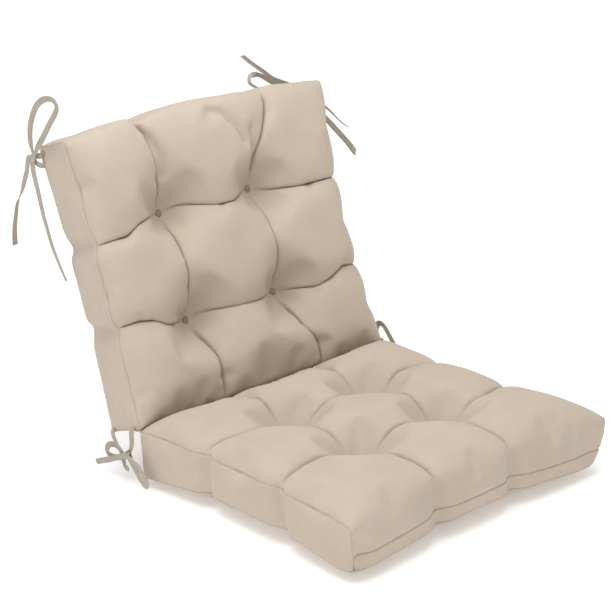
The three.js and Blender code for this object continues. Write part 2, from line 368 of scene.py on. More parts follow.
def new_piece(name, points, faces, material, smooth=True, uv=None):
    """A mesh object from points, faces and, for cloth, its own flat coordinates by corner."""
    mesh = bpy.data.meshes.new(name)
    mesh.from_pydata(np.asarray(points).tolist(), [], [list(map(int, f)) for f in faces])
    mesh.materials.append(material)
    if smooth:
        mesh.polygons.foreach_set("use_smooth", [True] * len(mesh.polygons))
    if uv is not None:
        layer = mesh.uv_layers.new(name="cloth")
        layer.data.foreach_set("uv", np.asarray(uv, np.float32).ravel())
    mesh.update()
    made = bpy.data.objects.new(name, mesh)
    scene.collection.objects.link(made)
    return made


def smooth_line(points, step):
    """A centripetal Catmull-Rom line through points, cut into even steps."""
    p = np.asarray(points, float)
    p = np.vstack([2 * p[0] - p[1], p, 2 * p[-1] - p[-2]])
    fine = []
    s = np.linspace(0, 1, 24, endpoint=False)[:, None]
    for a, b, c, d in zip(p, p[1:], p[2:], p[3:]):
        t0, t1, t2 = (math.sqrt(np.linalg.norm(v)) for v in (b - a, c - b, d - c))
        m1 = ((b - a) / t0 - (c - a) / (t0 + t1) + (c - b) / t1) * t1
        m2 = ((c - b) / t1 - (d - b) / (t1 + t2) + (d - c) / t2) * t1
        fine.append(
            b * (2 * s**3 - 3 * s**2 + 1)
            + m1 * (s**3 - 2 * s**2 + s)
            + c * (3 * s**2 - 2 * s**3)
            + m2 * (s**3 - s**2)
        )
    fine = np.vstack([*fine, p[-2:-1]])
    run = np.concatenate([[0], np.cumsum(np.linalg.norm(np.diff(fine, axis=0), axis=1))])
    even = np.linspace(0, run[-1], max(2, round(run[-1] / step)) + 1)
    return np.stack([np.interp(even, run, fine[:, i]) for i in range(3)], 1), run[-1]


def unit(v):
    return v / np.linalg.norm(v, axis=-1, keepdims=True)


def tape_frames(line, twist):
    """Tangent, across and out directions along a tape, turned by twist degrees along it."""
    tangent = unit(np.gradient(line, axis=0))
    across = unit(np.cross(tangent, np.array(TAPE_FACING)))
    for i in range(1, len(across)):
        if across[i] @ across[i - 1] < 0:
            across[i] *= -1
    for _ in range(3):
        across[1:-1] = unit(across[:-2] + across[1:-1] + across[2:])
    across = unit(across - tangent * np.sum(across * tangent, axis=1, keepdims=True))
    out = np.cross(tangent, across)
    part = np.linspace(0, 1, len(line))
    turn = np.radians(np.interp(part, *zip(*twist)))[:, None]
    turned = across * np.cos(turn) + out * np.sin(turn)
    return tangent, turned, out * np.cos(turn) - across * np.sin(turn)


# Half of a tape's section, across and out as shares of its width and thickness
TAPE_SECTION = np.array(
    [(0.5, 0.0), (0.485, 0.36), (0.42, 0.5), (0.33, 0.36), (0.15, 0.44), (0.0, 0.46)]
)
TAPE_SECTION = np.vstack([TAPE_SECTION, (TAPE_SECTION * (-1, 1))[-2::-1]])
TAPE_SECTION = np.vstack([TAPE_SECTION, (TAPE_SECTION * (1, -1))[-2:0:-1]])


def tie_tape(name, corner, route, twist=((0, 0), (1, 0)), pinches=()):
    """One tape along a route given in millimetres from its corner, with its two stitched hems."""
    line, length = smooth_line(np.array(corner) / 1000 + np.array(route) / 1000, TAPE_STEP)
    tangent, across, out = tape_frames(line, twist)
    n, ring = len(line), len(TAPE_SECTION)
    part = np.linspace(0, 1, n)
    narrow = np.ones(n)
    for where in pinches:
        narrow -= 0.42 * np.exp(-(((part - where) * length / 0.009) ** 2))
    run = part * length
    cup = 0.0007 * np.sin(run * 41 + len(name)) + 0.0003 * np.sin(run * 113)
    s = TAPE_SECTION[:, 0][None, :] * TAPE_WIDTH * narrow[:, None]
    t = TAPE_SECTION[:, 1][None, :] * TAPE_THICKNESS * (2 - narrow)[:, None]
    t = t + cup[:, None] * (4 * (s / TAPE_WIDTH) ** 2 - 0.33)
    points = line[:, None] + across[:, None] * s[..., None] + out[:, None] * t[..., None]
    faces = [
        (
            i * ring + j,
            i * ring + (j + 1) % ring,
            (i + 1) * ring + (j + 1) % ring,
            (i + 1) * ring + j,
        )
        for i in range(n - 1)
        for j in range(ring)
    ]
    around = np.linspace(0, 0.021, ring + 1)
    uv = [
        (around[j + a], run[i + b])
        for i in range(n - 1)
        for j in range(ring)
        for a, b in ((0, 0), (1, 0), (1, 1), (0, 1))
    ]
    faces += [tuple(range(ring))[::-1], tuple(range((n - 1) * ring, n * ring))]
    uv += [(0, 0)] * (2 * ring)
    tape = new_piece(name + "_tape", points.reshape(-1, 3), faces, tape_cloth, uv=uv)
    rows = []
    inset = (TAPE_WIDTH / 2 - HEM_MARGIN) * narrow[:, None]
    lift = TAPE_THICKNESS * 0.42
    curl = (cup * (4 * 0.33**2 - 0.33))[:, None]
    for side in (1, -1):
        for face in (1, -1):
            rows.append((line + across * inset * side + out * (face * lift + curl))[2:-1])
    stitches = sewn(name + "_stitches", rows)
    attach(tape, "back")
    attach(stitches, "back")
    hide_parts(name)
    return length


def tie_knot(name, centre, axis, radius, turns, lean):
    """The wrap of a bow's knot: a pinched band of tape pulled round the crossing tapes."""
    axis = unit(np.array(axis, float))
    side = unit(np.cross(axis, (0.3, 0.5, 1)))
    other = np.cross(axis, side)
    count = 44
    angle = np.linspace(0, math.tau * turns, count)
    travel = np.linspace(-1, 1, count)
    swell = radius * (1 + 0.10 * np.sin(angle * 3 + 1)) + 0.0006 * travel
    centre = np.array(centre) / 1000
    line = (
        centre
        + side * (swell * np.cos(angle))[:, None]
        + other * (swell * 0.8 * np.sin(angle))[:, None]
        + axis * (travel * lean)[:, None]
    )
    tangent = unit(np.gradient(line, axis=0))
    out = unit(line - centre - axis * ((line - centre) @ axis)[:, None])
    across = np.cross(out, tangent)
    ring = len(TAPE_SECTION)
    width = TAPE_WIDTH * (0.62 + 0.10 * np.sin(angle * 2))
    s = TAPE_SECTION[:, 0][None, :] * width[:, None]
    t = TAPE_SECTION[:, 1][None, :] * TAPE_THICKNESS * 1.3
    t = t - 0.0009 * (2 * s / width[:, None]) ** 2
    points = line[:, None] + across[:, None] * s[..., None] + out[:, None] * t[..., None]
    faces = [
        (
            i * ring + j,
            (i + 1) * ring + j,
            (i + 1) * ring + (j + 1) % ring,
            i * ring + (j + 1) % ring,
        )
        for i in range(count - 1)
        for j in range(ring)
    ]
    uv = [
        (j * 0.001 + a, i * 0.002 + b)
        for i in range(count - 1)
        for j in range(ring)
        for a, b in ((0, 0), (0, 0.002), (0.001, 0.002), (0.001, 0))
    ]
    faces += [tuple(range(ring)), tuple(range((count - 1) * ring, count * ring))[::-1]]
    uv += [(0, 0)] * (2 * ring)
    knot = new_piece(name, points.reshape(-1, 3), faces, tape_cloth, uv=uv)
    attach(knot, "back")
    return knot


TOP_LEFT, TOP_RIGHT = (-255, 446.2, 513), (255, 446.2, 513)
FOLD_LEFT, FOLD_RIGHT = (-255, 250, 90), (255, 250, 90)

# fmt: off
top_left_knot = tie_knot("tie_top_left_knot", (-268, 446, 501), (0.1, 0.2, 1), 0.0048, 1.4, 0.004)
tie_tape("tie_top_left_1", TOP_LEFT, [
    (-1, -12, -8), (-4.5, -12, -8), (-8, -4, -9), (-9, 4, -7), (-10, 8, 10), (-10, 6, 28),
    (-12, -5, 47), (-14, -20, 64), (-16, -38, 78), (-17, -56, 87), (-17, -74, 91), (-16, -87, 89),
    (-15, -91, 80), (-14, -82, 69), (-14, -64, 52), (-14, -38, 26), (-15, -14, 1), (-16, -3, -12),
    (-15, 1, -28), (-13, -1, -63), (-12, -9, -107), (-12, -23, -146), (-12, -38, -176),
    (-12, -54, -202),
], twist=((0, 0), (0.3, 12), (0.6, -8), (1, 18)), pinches=(0.05, 0.58))
tie_tape("tie_top_left_2", TOP_LEFT, [
    (-1, -13, -24), (-4.5, -13, -24), (-9, -7, -22), (-12, 0, -16), (-12.5, 8, -12),
    (-13, 15, -15), (-14, 18, -22), (-14, 22, -34), (-14, 30, -47), (-15, 38, -61),
    (-16, 47, -76), (-18, 56, -91), (-20, 64, -114), (-21, 69, -131), (-22, 72, -148),
    (-22, 75, -165),
], twist=((0, 0), (0.45, 10), (0.62, 70), (1, 95)), pinches=(0.13,))

top_right_knot = tie_knot(
    "tie_top_right_knot", (269, 450, 500), (-0.4, -0.2, 1), 0.0048, 1.4, 0.004
)
tie_tape("tie_top_right_1", TOP_RIGHT, [
    (1, -12, -8), (5, -12, -8), (10, -4, -9), (10, 6, -9), (5, 16, -6), (-6, 22, 0),
    (-27, 26, 13), (-45, 32, 27), (-57, 34, 30), (-67, 34, 27), (-70, 31, 18), (-58, 27, 8),
    (-38, 25, -4), (-18, 24, -14), (-2, 20, -19), (12, 10, -16), (19, 0, -13), (26, -11, -18),
    (36, -24, -30), (47, -33, -42), (59, -37, -56), (71, -39, -69), (82, -41, -79),
], twist=((0, 0), (0.5, 15), (1, 30)), pinches=(0.05, 0.66))
tie_tape("tie_top_right_2", TOP_RIGHT, [
    (1, -13, -24), (4.5, -13, -24), (10, -8, -20), (13, -2, -14), (16, -9, -24), (24, -17, -35),
    (38, -28, -50), (53, -39, -73), (67, -49, -97), (77, -55, -114), (84, -55, -123),
    (89, -48, -124), (86, -40, -113), (76, -36, -98), (64, -27, -79), (50, -16, -57),
    (36, -3, -38), (26, 8, -23), (19, 17, -9), (12, 26, 0), (2, 31, 6), (-12, 36, 14),
    (-31, 40, 30), (-50, 44, 46), (-68, 48, 63),
], twist=((0, 0), (0.3, 40), (0.5, 30), (1, 0)), pinches=(0.04, 0.72))

fold_left_knot = tie_knot("tie_fold_left_knot", (-267, 266, 52), (0.2, 1, 0.3), 0.0048, 1.4, 0.004)
tie_tape("tie_fold_left_1", FOLD_LEFT, [
    (-1, 9, 5), (-4, 9, 5), (-7, 9, 0), (-7.5, 9, -8), (-7.5, 10, -18), (-8, 14, -29),
    (-8, 22, -38), (-8, 32, -46), (-8.5, 46, -52), (-9, 60, -55), (-9.5, 74, -56), (-9, 83, -52),
    (-7, 84, -45), (-5, 78, -40), (-4, 66, -38), (-4, 53, -41), (-4.5, 45, -49), (-5, 43, -58),
    (-7, 37, -65), (-8, 27, -66),
], pinches=(0.2,))
tie_tape("tie_fold_left_2", FOLD_LEFT, [
    (-1, 66, -10), (-4.5, 66, -10), (-8, 61, -19), (-10, 50, -29), (-12, 38, -35), (-13, 26, -40),
    (-13, 14, -44), (-13, 4, -52), (-13, -5, -62), (-13.5, -14, -71), (-14.5, -24, -77),
    (-15.5, -32, -74), (-16, -32, -65), (-16, -22, -54), (-16, -6, -44), (-16.5, 10, -38),
    (-16.5, 24, -40), (-16.5, 38, -46), (-16, 54, -53), (-15.5, 72, -61), (-15.5, 90, -68),
    (-16, 107, -75),
], pinches=(0.21, 0.62))

fold_right_knot = tie_knot(
    "tie_fold_right_knot", (271, 262, 66), (0.2, 1, -0.3), 0.0048, 1.4, 0.004
)
tie_tape("tie_fold_right_1", FOLD_RIGHT, [
    (1, 9, 5), (4, 9, 5), (7, 9, 0), (8, 12, -8), (9, 20, -8), (10, 27, 3), (12, 29, 17),
    (12, 21, 30), (11, 10, 30), (10, 0, 23), (10, -9, 12), (11, -15, 3), (13, -18, -8),
    (15, -12, -17), (17, 2, -22), (17.5, 16, -28), (17, 28, -38), (17, 40, -50), (17, 52, -62),
], pinches=(0.1, 0.72))
tie_tape("tie_fold_right_2", FOLD_RIGHT, [
    (1, 66, -10), (4.5, 66, -10), (9, 56, -22), (11.5, 42, -29), (13, 28, -27), (13, 14, -23),
    (13, 2, -29), (13, -8, -40), (13, -14, -54), (14.5, -12, -66), (16.5, -3, -69), (18, 6, -61),
    (19.5, 9, -48), (21, 12, -35), (22, 20, -26), (22, 34, -28), (21, 50, -36), (19, 66, -48),
    (19, 80, -62),
], pinches=(0.24, 0.72))
# fmt: on

# ---------------------------------------------------------------------------------------------
# Padded covers
# Two box pads of polyester canvas stuffed with fibre: a face panel that wraps over the free end,
# a narrow band, boxing strips, an end panel and a rear panel, sewn edge to edge and tufted.
# ---------------------------------------------------------------------------------------------
PAD_WIDTH = 510.0  # the cover is worked out in millimetres, in the pad's own frame
BOXING = 76.0
FACE_WRAP = 50.0
CELL = 5.6  # side of a square of the cover's mesh
FOLD_GAP = 2.5
RECLINE = math.radians(15.5)
FOLD_LINE = np.array([0.0, 250.0, 90.0])
PANELS = ("face", "band", "rear", "end", "left", "right")
TUFT_DEPTH = 32.0  # of the cloth under a face button, below the face seam
PIT_FLOOR = 9.0
UNDER_DEPTH = 12.0  # of the cloth under a rear button, inside the rear seam
SEAM_GROOVE = 1.3
PUCKER = 0.55

cover_cloth = woven("polyester_canvas_cover", "#c9baaa", "#b7a898", 0.0014, 0.9, 0.2, 0.2)


def ruled(*stops):
    """Evenly ruled positions that include every stop."""
    runs = [
        np.linspace(a, b, max(1, round((b - a) / CELL)), endpoint=False)
        for a, b in zip(stops, stops[1:])
    ]
    return np.concatenate([*runs, stops[-1:]])


def dome(distance, reach):
    """How far a stuffed edge has risen at a distance from its seam."""
    t = np.clip(distance / reach, 0, 1)
    return np.sqrt(1 - (1 - t) ** 2)


def hat(t, left, peak, right):
    """1 at the peak, falling evenly to 0 on both sides of it."""
    return np.minimum((t - left) / (peak - left), (right - t) / (right - peak)).clip(0)


def to_line(x, y, line):
    """Distance from each point to a line of straight steps."""
    nearest = np.full(len(x), 99.0)
    for (ax, ay), (bx, by) in zip(line, line[1:]):
        dx, dy = bx - ax, by - ay
        t = (((x - ax) * dx + (y - ay) * dy) / (dx**2 + dy**2)).clip(0, 1)
        nearest = np.minimum(nearest, np.hypot(x - ax - t * dx, y - ay - t * dy))
    return nearest


def cut_cover(length, columns, rows, look):
    """The cover as cut and drawn in by its tufts, before the stuffing swells it."""
    side = PAD_WIDTH / 2
    gx = ruled(-side, *columns, side)
    gy = ruled(FOLD_GAP, *rows, length)
    gz = ruled(-BOXING, -FACE_WRAP, 0.0)
    nx, ny, nz = len(gx) - 1, len(gy) - 1, len(gz) - 1
    i, j, k = np.meshgrid(np.arange(nx + 1), np.arange(ny + 1), np.arange(nz + 1), indexing="ij")
    skin = (i == 0) | (i == nx) | (j == 0) | (j == ny) | (k == 0) | (k == nz)
    index = np.full(skin.shape, -1)
    index[skin] = np.arange(skin.sum())
    i, j, k = i[skin], j[skin], k[skin]
    x, y, z = gx[i], gy[j], gz[k]
    flat = np.stack([x, y, z], 1)
    face, rear = k == nz, k == 0
    s = np.clip((y - FOLD_GAP) / (length - FOLD_GAP), 0, 1)
    notch = sum(np.exp(-(((y - t) / 16) ** 2)) for t in rows)
    end_notch = sum(np.exp(-(((x - t) / 16) ** 2)) for t in columns)
    bow = np.cos(math.pi * x / PAD_WIDTH).clip(0) ** 0.8
    waist = np.where(x < 0, *look["waist"])
    draw = 1 + waist * np.sin(math.pi * s) ** 0.8 + look["notch"] * notch
    end_draw = 1 + look["end_waist"] * bow + look["notch"] * end_notch
    outside = np.maximum(
        (columns[0] - x) / (columns[0] + side), (x - columns[1]) / (side - columns[1])
    )
    px = x - np.sign(x) * draw * outside.clip(0) ** 1.3
    py = y - end_draw * ((y - rows[1]) / (length - rows[1])).clip(0) ** 1.3
    for stops, peak, left, right in zip(
        look["column_leans"], columns, (-side, columns[0]), (columns[1], side)
    ):
        px += hat(x, left, peak, right) * np.interp(y, *zip(*stops))
    for stops, peak, left, right in zip(
        look["row_leans"], rows, (FOLD_GAP, rows[0]), (rows[1], length)
    ):
        py += hat(y, left, peak, right) * np.interp(x, *zip(*stops))
    to_side, to_fold, to_end = side - np.abs(x), y - FOLD_GAP, length - y
    to_tuft = np.min([np.hypot(x - a, y - b) for a in columns for b in rows], axis=0)
    to_crease = np.minimum(
        np.min([np.abs(x - a) for a in columns], axis=0),
        np.min([np.abs(y - b) for b in rows], axis=0),
    )
    to_pleat = np.min([to_line(px, py, line) for line in look["pleats"]] + [x * 0 + 99], axis=0)
    to_edge = np.minimum(np.minimum(to_side, to_fold), to_end)
    rise = dome(to_side, 60) * dome(to_end, 60) * dome(to_fold, 90)
    up = look["crown"] * rise
    up -= look["crease"] * (1 - dome(to_crease, 48)) * (to_edge / 40).clip(0, 1) ** 0.5
    up -= look["pleat"] * np.exp(-((to_pleat / 7) ** 2))
    from_x, from_y, _ = creases_near(flat, length, columns, rows)
    mouth, flare = look["pit"]
    pit = np.ones(len(flat))
    for away in (np.abs(from_x), np.abs(from_y)):
        pit *= (1 - (away - PIT_FLOOR).clip(0) / (mouth - PIT_FLOOR)).clip(0) ** flare
    up = up * (1 - pit) - TUFT_DEPTH * pit
    reach = look["belly_reach"]
    under = -BOXING - (
        look["belly"] * dome(to_side, reach) * dome(to_end, reach) * dome(to_fold, reach)
    )
    under_pit = (1 - (to_tuft - PIT_FLOOR).clip(0) / 24).clip(0) ** 1.4
    fade = np.maximum(
        np.sin(math.pi * s) * (1 - to_side / reach).clip(0) ** 1.5,
        bow * (1 - to_end / reach).clip(0) ** 1.5,
    )
    under += look["lift"] * fade
    under = under * (1 - under_pit) + (UNDER_DEPTH - BOXING) * under_pit
    pz = np.where(face, up, np.where(rear, under, z - look["lift"] * fade * z / BOXING))
    tuck = look["tuck"] * np.exp(-(to_side + to_end) / 22) * (-z / BOXING).clip(0, 1) ** 2
    px -= np.sign(x) * tuck
    py -= tuck
    pz += 0.5 * tuck
    hold = np.zeros(len(flat))
    hold[rear] = look["rear_hold"]
    hold[face & (np.isin(x, columns) | np.isin(y, rows))] = look["hold"]
    hold[face & (to_pleat < 4)] = look["hold"]
    hold[(face | rear) & ((i == 0) | (i == nx) | (j == 0) | (j == ny))] = 0.3
    hold[face] = np.maximum(hold[face], look["open"] * (1 - to_tuft[face] / 36).clip(0, 0.6))
    hold[face & (j == 0)] = 1
    hold[((i == 0) | (i == nx)) & ((j == 0) | (j == ny))] = 0.5
    hold[(face | rear) & (to_tuft < 7)] = 1
    quads, panel = [], []

    def lay(grid, flip, tags):
        q = np.stack([grid[:-1, :-1], grid[1:, :-1], grid[1:, 1:], grid[:-1, 1:]], -1)
        q = q.reshape(-1, 4)
        quads.append(q[:, ::-1] if flip else q)
        panel.append(np.broadcast_to(tags, (grid.shape[0] - 1, grid.shape[1] - 1)).ravel())

    levels = np.where(gz[:-1] < -FACE_WRAP - 0.01, PANELS.index("band"), PANELS.index("face"))
    lay(index[:, :, nz], False, PANELS.index("face"))
    lay(index[:, :, 0], True, PANELS.index("rear"))
    lay(index[0], True, PANELS.index("left"))
    lay(index[nx], False, PANELS.index("right"))
    lay(index[:, 0], False, PANELS.index("end"))
    lay(index[:, ny], True, levels[None, :])
    start = np.stack([px, py, pz], 1)
    return start, flat, np.concatenate(quads), np.concatenate(panel), hold, ~face


def stuff(name, start, quads, hold, snug, look):
    """Swells the cover with Cloth under pressure, held where it is sewn and tufted."""
    mesh = bpy.data.meshes.new(name)
    mesh.from_pydata((start / 1000).tolist(), [], quads.tolist())
    cover = bpy.data.objects.new(name, mesh)
    scene.collection.objects.link(cover)
    held = cover.vertex_groups.new(name="held")
    for v in np.nonzero(hold)[0]:
        held.add([int(v)], float(hold[v]), "REPLACE")
    close = cover.vertex_groups.new(name="snug")
    close.add([int(v) for v in np.nonzero(snug)[0]], 1.0, "REPLACE")
    modifier = cover.modifiers.new("stuffing", "CLOTH")
    cloth = modifier.settings
    cloth.quality = 5
    cloth.mass = 0.3
    cloth.tension_stiffness = cloth.compression_stiffness = look["tension"]
    cloth.shear_stiffness = 5
    cloth.bending_stiffness = look["bending"]
    cloth.bending_damping = 0.5
    cloth.use_pressure = True
    cloth.uniform_pressure_force = look["pressure"]
    cloth.shrink_min = -look["fullness"]
    cloth.shrink_max = -0.02
    cloth.vertex_group_shrink = "snug"
    cloth.vertex_group_mass = "held"
    cloth.effector_weights.gravity = 0
    modifier.collision_settings.use_collision = False
    modifier.point_cache.frame_end = 20
    for step in range(1, 21):
        scene.frame_set(step)
    shown = cover.evaluated_get(bpy.context.evaluated_depsgraph_get())
    swollen = np.empty(len(start) * 3)
    shown.data.vertices.foreach_get("co", swollen)
    bpy.data.objects.remove(cover)
    scene.frame_set(1)
    swollen = swollen.reshape(-1, 3) * 1000
    move = swollen - start
    travel = np.linalg.norm(move, axis=1, keepdims=True)
    return start + move * np.minimum(1, look["travel"] / np.maximum(travel, 1e-9))


def refine(points, flat, quads, panel):
    """One subdivision of the whole cover, carrying each point's place in the flat cloth."""
    mesh = bpy.data.meshes.new("cover")
    mesh.from_pydata(points.tolist(), [], quads.tolist())
    mesh.attributes.new("flat", "FLOAT_VECTOR", "POINT").data.foreach_set("vector", flat.ravel())
    mesh.attributes.new("panel", "INT", "FACE").data.foreach_set("value", panel.astype(np.int32))
    cover = bpy.data.objects.new("cover", mesh)
    scene.collection.objects.link(cover)
    smooth = cover.modifiers.new("smooth", "SUBSURF")
    smooth.levels = smooth.render_levels = 1
    shown = cover.evaluated_get(bpy.context.evaluated_depsgraph_get())
    fine = bpy.data.meshes.new_from_object(shown)
    bpy.data.objects.remove(cover)
    count = len(fine.vertices)
    co, fl, nor = np.empty(count * 3), np.empty(count * 3), np.empty(count * 3)
    fine.vertices.foreach_get("co", co)
    fine.attributes["flat"].data.foreach_get("vector", fl)
    fine.vertex_normals.foreach_get("vector", nor)
    tag = np.empty(len(fine.polygons), np.int32)
    fine.attributes["panel"].data.foreach_get("value", tag)
    corner = np.empty(len(fine.loops), np.int32)
    fine.loops.foreach_get("vertex_index", corner)
    bpy.data.meshes.remove(fine)
    return co.reshape(-1, 3), fl.reshape(-1, 3), nor.reshape(-1, 3), corner.reshape(-1, 4), tag


def ripple(t, seed):
    """A smooth, uneven ripple along t, the same each time."""
    draw = np.random.default_rng(seed)
    total = 0
    for wave in (29.0, 17.0, 11.5):
        phase = draw.uniform(0, math.tau)
        total = total + np.sin(math.tau * t / wave + phase) * draw.uniform(0.5, 1)
    return total / 2


def creases_near(flat, length, columns, rows):
    """Distances across the tufted creases, along x and along y, and how far inland a point is."""
    x, y, z = flat.T
    from_x = x - np.array(columns)[np.argmin([np.abs(x - a) for a in columns], axis=0)]
    from_y = y - np.array(rows)[np.argmin([np.abs(y - b) for b in rows], axis=0)]
    to_edge = np.minimum(PAD_WIDTH / 2 - np.abs(x), np.minimum(y - FOLD_GAP, length - y))
    return from_x, from_y, (to_edge / 30).clip(0, 1)


def open_pits(points, start, flat, length, columns, rows):
    """Flattens the cloth under each button and keeps the puffs from closing over it: along the
    creases they stay below a steep slope from the button, and rise more steeply beside them."""
    from_x, from_y, _ = creases_near(flat, length, columns, rows)
    on_face = flat[:, 2] > -0.01
    share = ((20 - np.hypot(from_x, from_y)) / 12).clip(0, 1) * on_face
    moved = points + (start - points) * share[:, None]
    away_x, away_y, _ = creases_near(moved, length, columns, rows)
    away_x, away_y = np.abs(away_x), np.abs(away_y)
    along, beside = np.maximum(away_x, away_y), np.minimum(away_x, away_y)
    ceiling = 1.3 * (along - 7) + 2.2 * (beside - 8).clip(0) - TUFT_DEPTH
    over = np.logaddexp(0, (moved[:, 2] - ceiling) / 2.5) * 2.5
    moved[:, 2] -= np.where(on_face & (along > 10) & (along < 50), over, 0)
    return moved


def close_creases(points, flat, length, columns, rows, look):
    """Brings the two sides of each crease together, except in the mouths of the tufts."""
    from_x, from_y, inland = creases_near(flat, length, columns, rows)
    on_face = flat[:, 2] > -0.01
    clear = (np.hypot(from_x, from_y) / 30).clip(0, 1) ** 1.5
    share = look["close"] * (0.35 + 0.65 * inland) * clear * on_face
    moved = points.copy()
    moved[:, 0] -= from_x * share * np.exp(-((np.abs(from_x) / 11) ** 2.5))
    moved[:, 1] -= from_y * share * np.exp(-((np.abs(from_y) / 11) ** 2.5))
    in_line = (np.abs(from_x) < 0.1) | (np.abs(from_y) < 0.1)
    moved[:, 2] -= look["slot"] * inland * clear * (on_face & in_line)
    return moved


def sew_details(points, flat, normal, faces, tag, length, columns, rows, look):
    """Presses the seams in, puckers the cloth beside them and sharpens the tufted creases."""
    x, y, z = flat.T
    borders = {}
    for number, name in enumerate(PANELS):
        used = np.zeros(len(points), bool)
        used[faces[tag == number].ravel()] = True
        borders[name] = used
    on_seam = sum(borders.values()) > 1
    to_x, to_y0, to_y1 = PAD_WIDTH / 2 - np.abs(x), y - FOLD_GAP, length - y
    to_z0, to_z1 = z + BOXING, -z
    near = np.full(len(points), 99.0)
    run = np.zeros(len(points))

    def seam(members, distance, position):
        closer = members & (distance < near)
        near[closer] = distance[closer]
        run[closer] = position[closer]

    top = borders["face"] & (z > -0.01)
    wrap = borders["face"] & (y > length - 0.01)
    for members in (top, borders["rear"]):
        seam(members, to_x, y)
        seam(members, to_y0, x + 40)
    seam(borders["rear"], to_y1, x)
    seam(wrap, to_x, z + 900)
    seam(wrap, np.abs(z + FACE_WRAP), x + 700)
    seam(borders["band"], np.abs(z + FACE_WRAP), x + 700)
    seam(borders["band"], to_z0, x)
    for name in ("left", "right"):
        seam(borders[name], to_z0, y)
        seam(borders[name], to_z1, y)
        seam(borders[name], to_y1, z + 900)
        seam(borders[name], to_y0, z + 300)
    seam(borders["end"], to_z0, x)
    seam(borders["end"], to_z1, x + 40)
    near[on_seam] = 0
    press = SEAM_GROOVE * np.exp(-((near / 1.9) ** 2))
    gather = PUCKER * ripple(run, 3) * np.exp(-near / 8) * (1 - np.exp(-near / 2.5))
    from_x, from_y, inland = creases_near(flat, length, columns, rows)
    to_crease = np.where(z > -0.01, np.minimum(np.abs(from_x), np.abs(from_y)), 99)
    clear = (np.hypot(from_x, from_y) / 16).clip(0, 1)
    pinch = look["pinch"] * np.exp(-((to_crease / 2.0) ** 2)) * inland * clear
    for line in look["pleats"]:
        to_pleat = np.where(z > -0.01, to_line(points[:, 0], points[:, 1], line), 99)
        pinch += look["pinch"] * np.exp(-((to_pleat / 2.8) ** 2)) * inland
    return points + normal * (gather - press - pinch)[:, None]


def to_world(points, pad):
    """From the pad's own frame, in millimetres, to the cushion's, in metres."""
    x, y, z = points.T
    if pad == "seat":
        placed = np.stack([-x, -y, z], 1)
    else:
        c, s = math.cos(math.pi / 2 - RECLINE), math.sin(math.pi / 2 - RECLINE)
        placed = np.stack([x, y * c - z * s, y * s + z * c], 1)
    return (placed + FOLD_LINE) / 1000


FOLD_POINT = Vector(FOLD_LINE / 1000)


def give_at_fold(piece):
    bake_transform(piece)


def flat_uv(flat, panel):
    """Each panel's own flat coordinates, in metres."""
    x, y, z = flat.T / 1000
    if panel in ("left", "right"):
        return np.stack([y, z], 1)
    if panel in ("band", "end"):
        return np.stack([x, z], 1)
    return np.stack([x, y - z], 1) if panel == "face" else np.stack([x, y], 1)


def make_pad(pad, length, columns, rows, look, names):
    start, flat, quads, panel, hold, snug = cut_cover(length, columns, rows, look)
    swollen = stuff(pad, start, quads, hold, snug, look)
    coarse = flat
    swollen = open_pits(swollen, start, flat, length, columns, rows)
    swollen = close_creases(swollen, flat, length, columns, rows, look)
    points, flat, normal, faces, tag = refine(swollen, flat, quads, panel)
    points = sew_details(points, flat, normal, faces, tag, length, columns, rows, look)
    world = to_world(points, pad)
    world[:, 2] = np.maximum(world[:, 2], 0.0006)
    for number, name in enumerate(PANELS):
        mine = faces[tag == number]
        used, local = np.unique(mine, return_inverse=True)
        local = local.reshape(-1, 4)
        node, label = names[name]
        uv = flat_uv(flat[used], name)[local.ravel()]
        cover = new_piece(f"{pad}_{label}", world[used], local, cover_cloth, uv=uv)
        ply = cover.modifiers.new("ply", "SOLIDIFY")
        ply.thickness = 0.0011
        ply.offset = -1
        if name == "band":
            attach(cover, pad)
        else:
            give_at_fold(cover)
        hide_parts(node)
    sides = (np.abs(np.abs(coarse[:, 0]) - PAD_WIDTH / 2) < 0.01).astype(int)
    sides += (coarse[:, 1] < FOLD_GAP + 0.01) | (coarse[:, 1] > length - 0.01)
    sides += (coarse[:, 2] > -0.01) | (coarse[:, 2] < 0.01 - BOXING)
    sewn_sides[pad] = sides
    return swollen, quads


sewn_sides = {}  # for each point of a pad's cover, how many of its panels meet there
